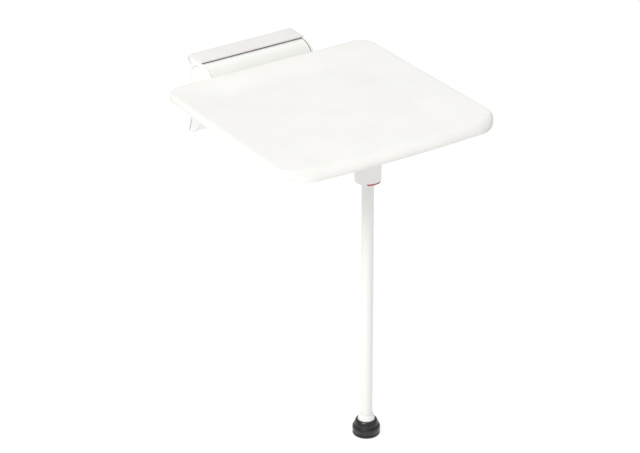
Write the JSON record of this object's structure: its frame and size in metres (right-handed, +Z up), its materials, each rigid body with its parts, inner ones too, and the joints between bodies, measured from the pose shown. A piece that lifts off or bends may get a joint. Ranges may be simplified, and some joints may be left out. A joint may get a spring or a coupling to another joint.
{
  "type": "folding shower seat",
  "caption": "Wall-mounted folding shower seat: a white rounded square seat on a hinged wall bracket, with a vertical floor leg, a rubber foot and height adjustment.",
  "frame": {"origin": "middle of the wall plate's back face, on the wall plane", "axes": "+Y into the wall, +X to the right of someone facing the wall, +Z up; the seat is down and the leg stands"},
  "size_m": [0.354, 0.413, 0.4937],
  "materials": {
    "stainless_plate": "brushed stainless steel sheet and tube",
    "bracket_white": "white moulded polyamide, satin",
    "cover_strip": "off-white moulded polyamide strip, satin",
    "barrel_white": "white moulded polyamide, satin",
    "plated_steel": "zinc-plated steel",
    "nylon": "grey bearing nylon",
    "black_rubber": "black moulded rubber",
    "seat_white": "white moulded polyurethane seat skin, satin",
    "socket_white": "white moulded polyamide, satin",
    "red_mark": "red moulded insert",
    "coated_tube": "white powder-coated aluminium tube"
  },
  "bodies": {
    "wall_mount": {"wall_plate": "stainless_plate", "bracket_body": "bracket_white", "top_cover": "cover_strip", "lower_cover": "bracket_white", "hinge_axle": "plated_steel", "left_hinge_cap": "bracket_white", "left_axle_bush": "nylon", "left_retaining_ring": "plated_steel", "left_stop_pad": "black_rubber", "left_fixing_screw": "plated_steel", "right_hinge_cap": "bracket_white", "right_axle_bush": "nylon", "right_retaining_ring": "plated_steel", "right_stop_pad": "black_rubber", "right_fixing_screw": "plated_steel"},
    "seat": {"hinge_barrel": "barrel_white", "hinge_tube": "plated_steel", "socket_plate": "stainless_plate", "leg_socket": "socket_white", "socket_mark": "red_mark", "leg_pivot_pin": "plated_steel", "seat_shell": "seat_white", "seat_pan": "seat_white", "left_friction_disc": "nylon", "left_rail": "stainless_plate", "left_rail_bolt_1": "plated_steel", "left_rail_bolt_2": "plated_steel", "left_seat_screw_1": "plated_steel", "left_seat_screw_2": "plated_steel", "left_seat_screw_3": "plated_steel", "right_friction_disc": "nylon", "right_rail": "stainless_plate", "right_rail_bolt_1": "plated_steel", "right_rail_bolt_2": "plated_steel", "right_seat_screw_1": "plated_steel", "right_seat_screw_2": "plated_steel", "right_seat_screw_3": "plated_steel", "socket_screw_1": "plated_steel", "socket_screw_2": "plated_steel", "socket_screw_3": "plated_steel", "socket_screw_4": "plated_steel"},
    "leg": {"leg_knuckle": "nylon", "leg_tube": "coated_tube", "knuckle_pin": "plated_steel", "tube_sleeve": "socket_white", "tube_insert": "nylon"},
    "foot": {"adjuster_cone": "socket_white", "rubber_foot": "black_rubber", "adjuster_spindle": "plated_steel", "spindle_washer": "plated_steel"}
  },
  "joints": [
    {"name": "seat_fold", "type": "hinge", "parent": "wall_mount", "child": "seat", "pos_m": [0, -0.036, 0.0283], "axis": [-1, 0, 0], "range_deg": [0, 90]},
    {"name": "leg_fold", "type": "hinge", "parent": "seat", "child": "leg", "pos_m": [0, -0.3321, -0.012], "axis": [1, 0, 0], "range_deg": [0, 90]},
    {"name": "foot_adjust", "type": "slide", "parent": "leg", "child": "foot", "axis": [0, 0, -1], "range_m": [-0.003, 0.01]}
  ],
  "couplings": [
    {"joint": "leg_fold", "follows": "seat_fold", "ratio": 1}
  ]
}
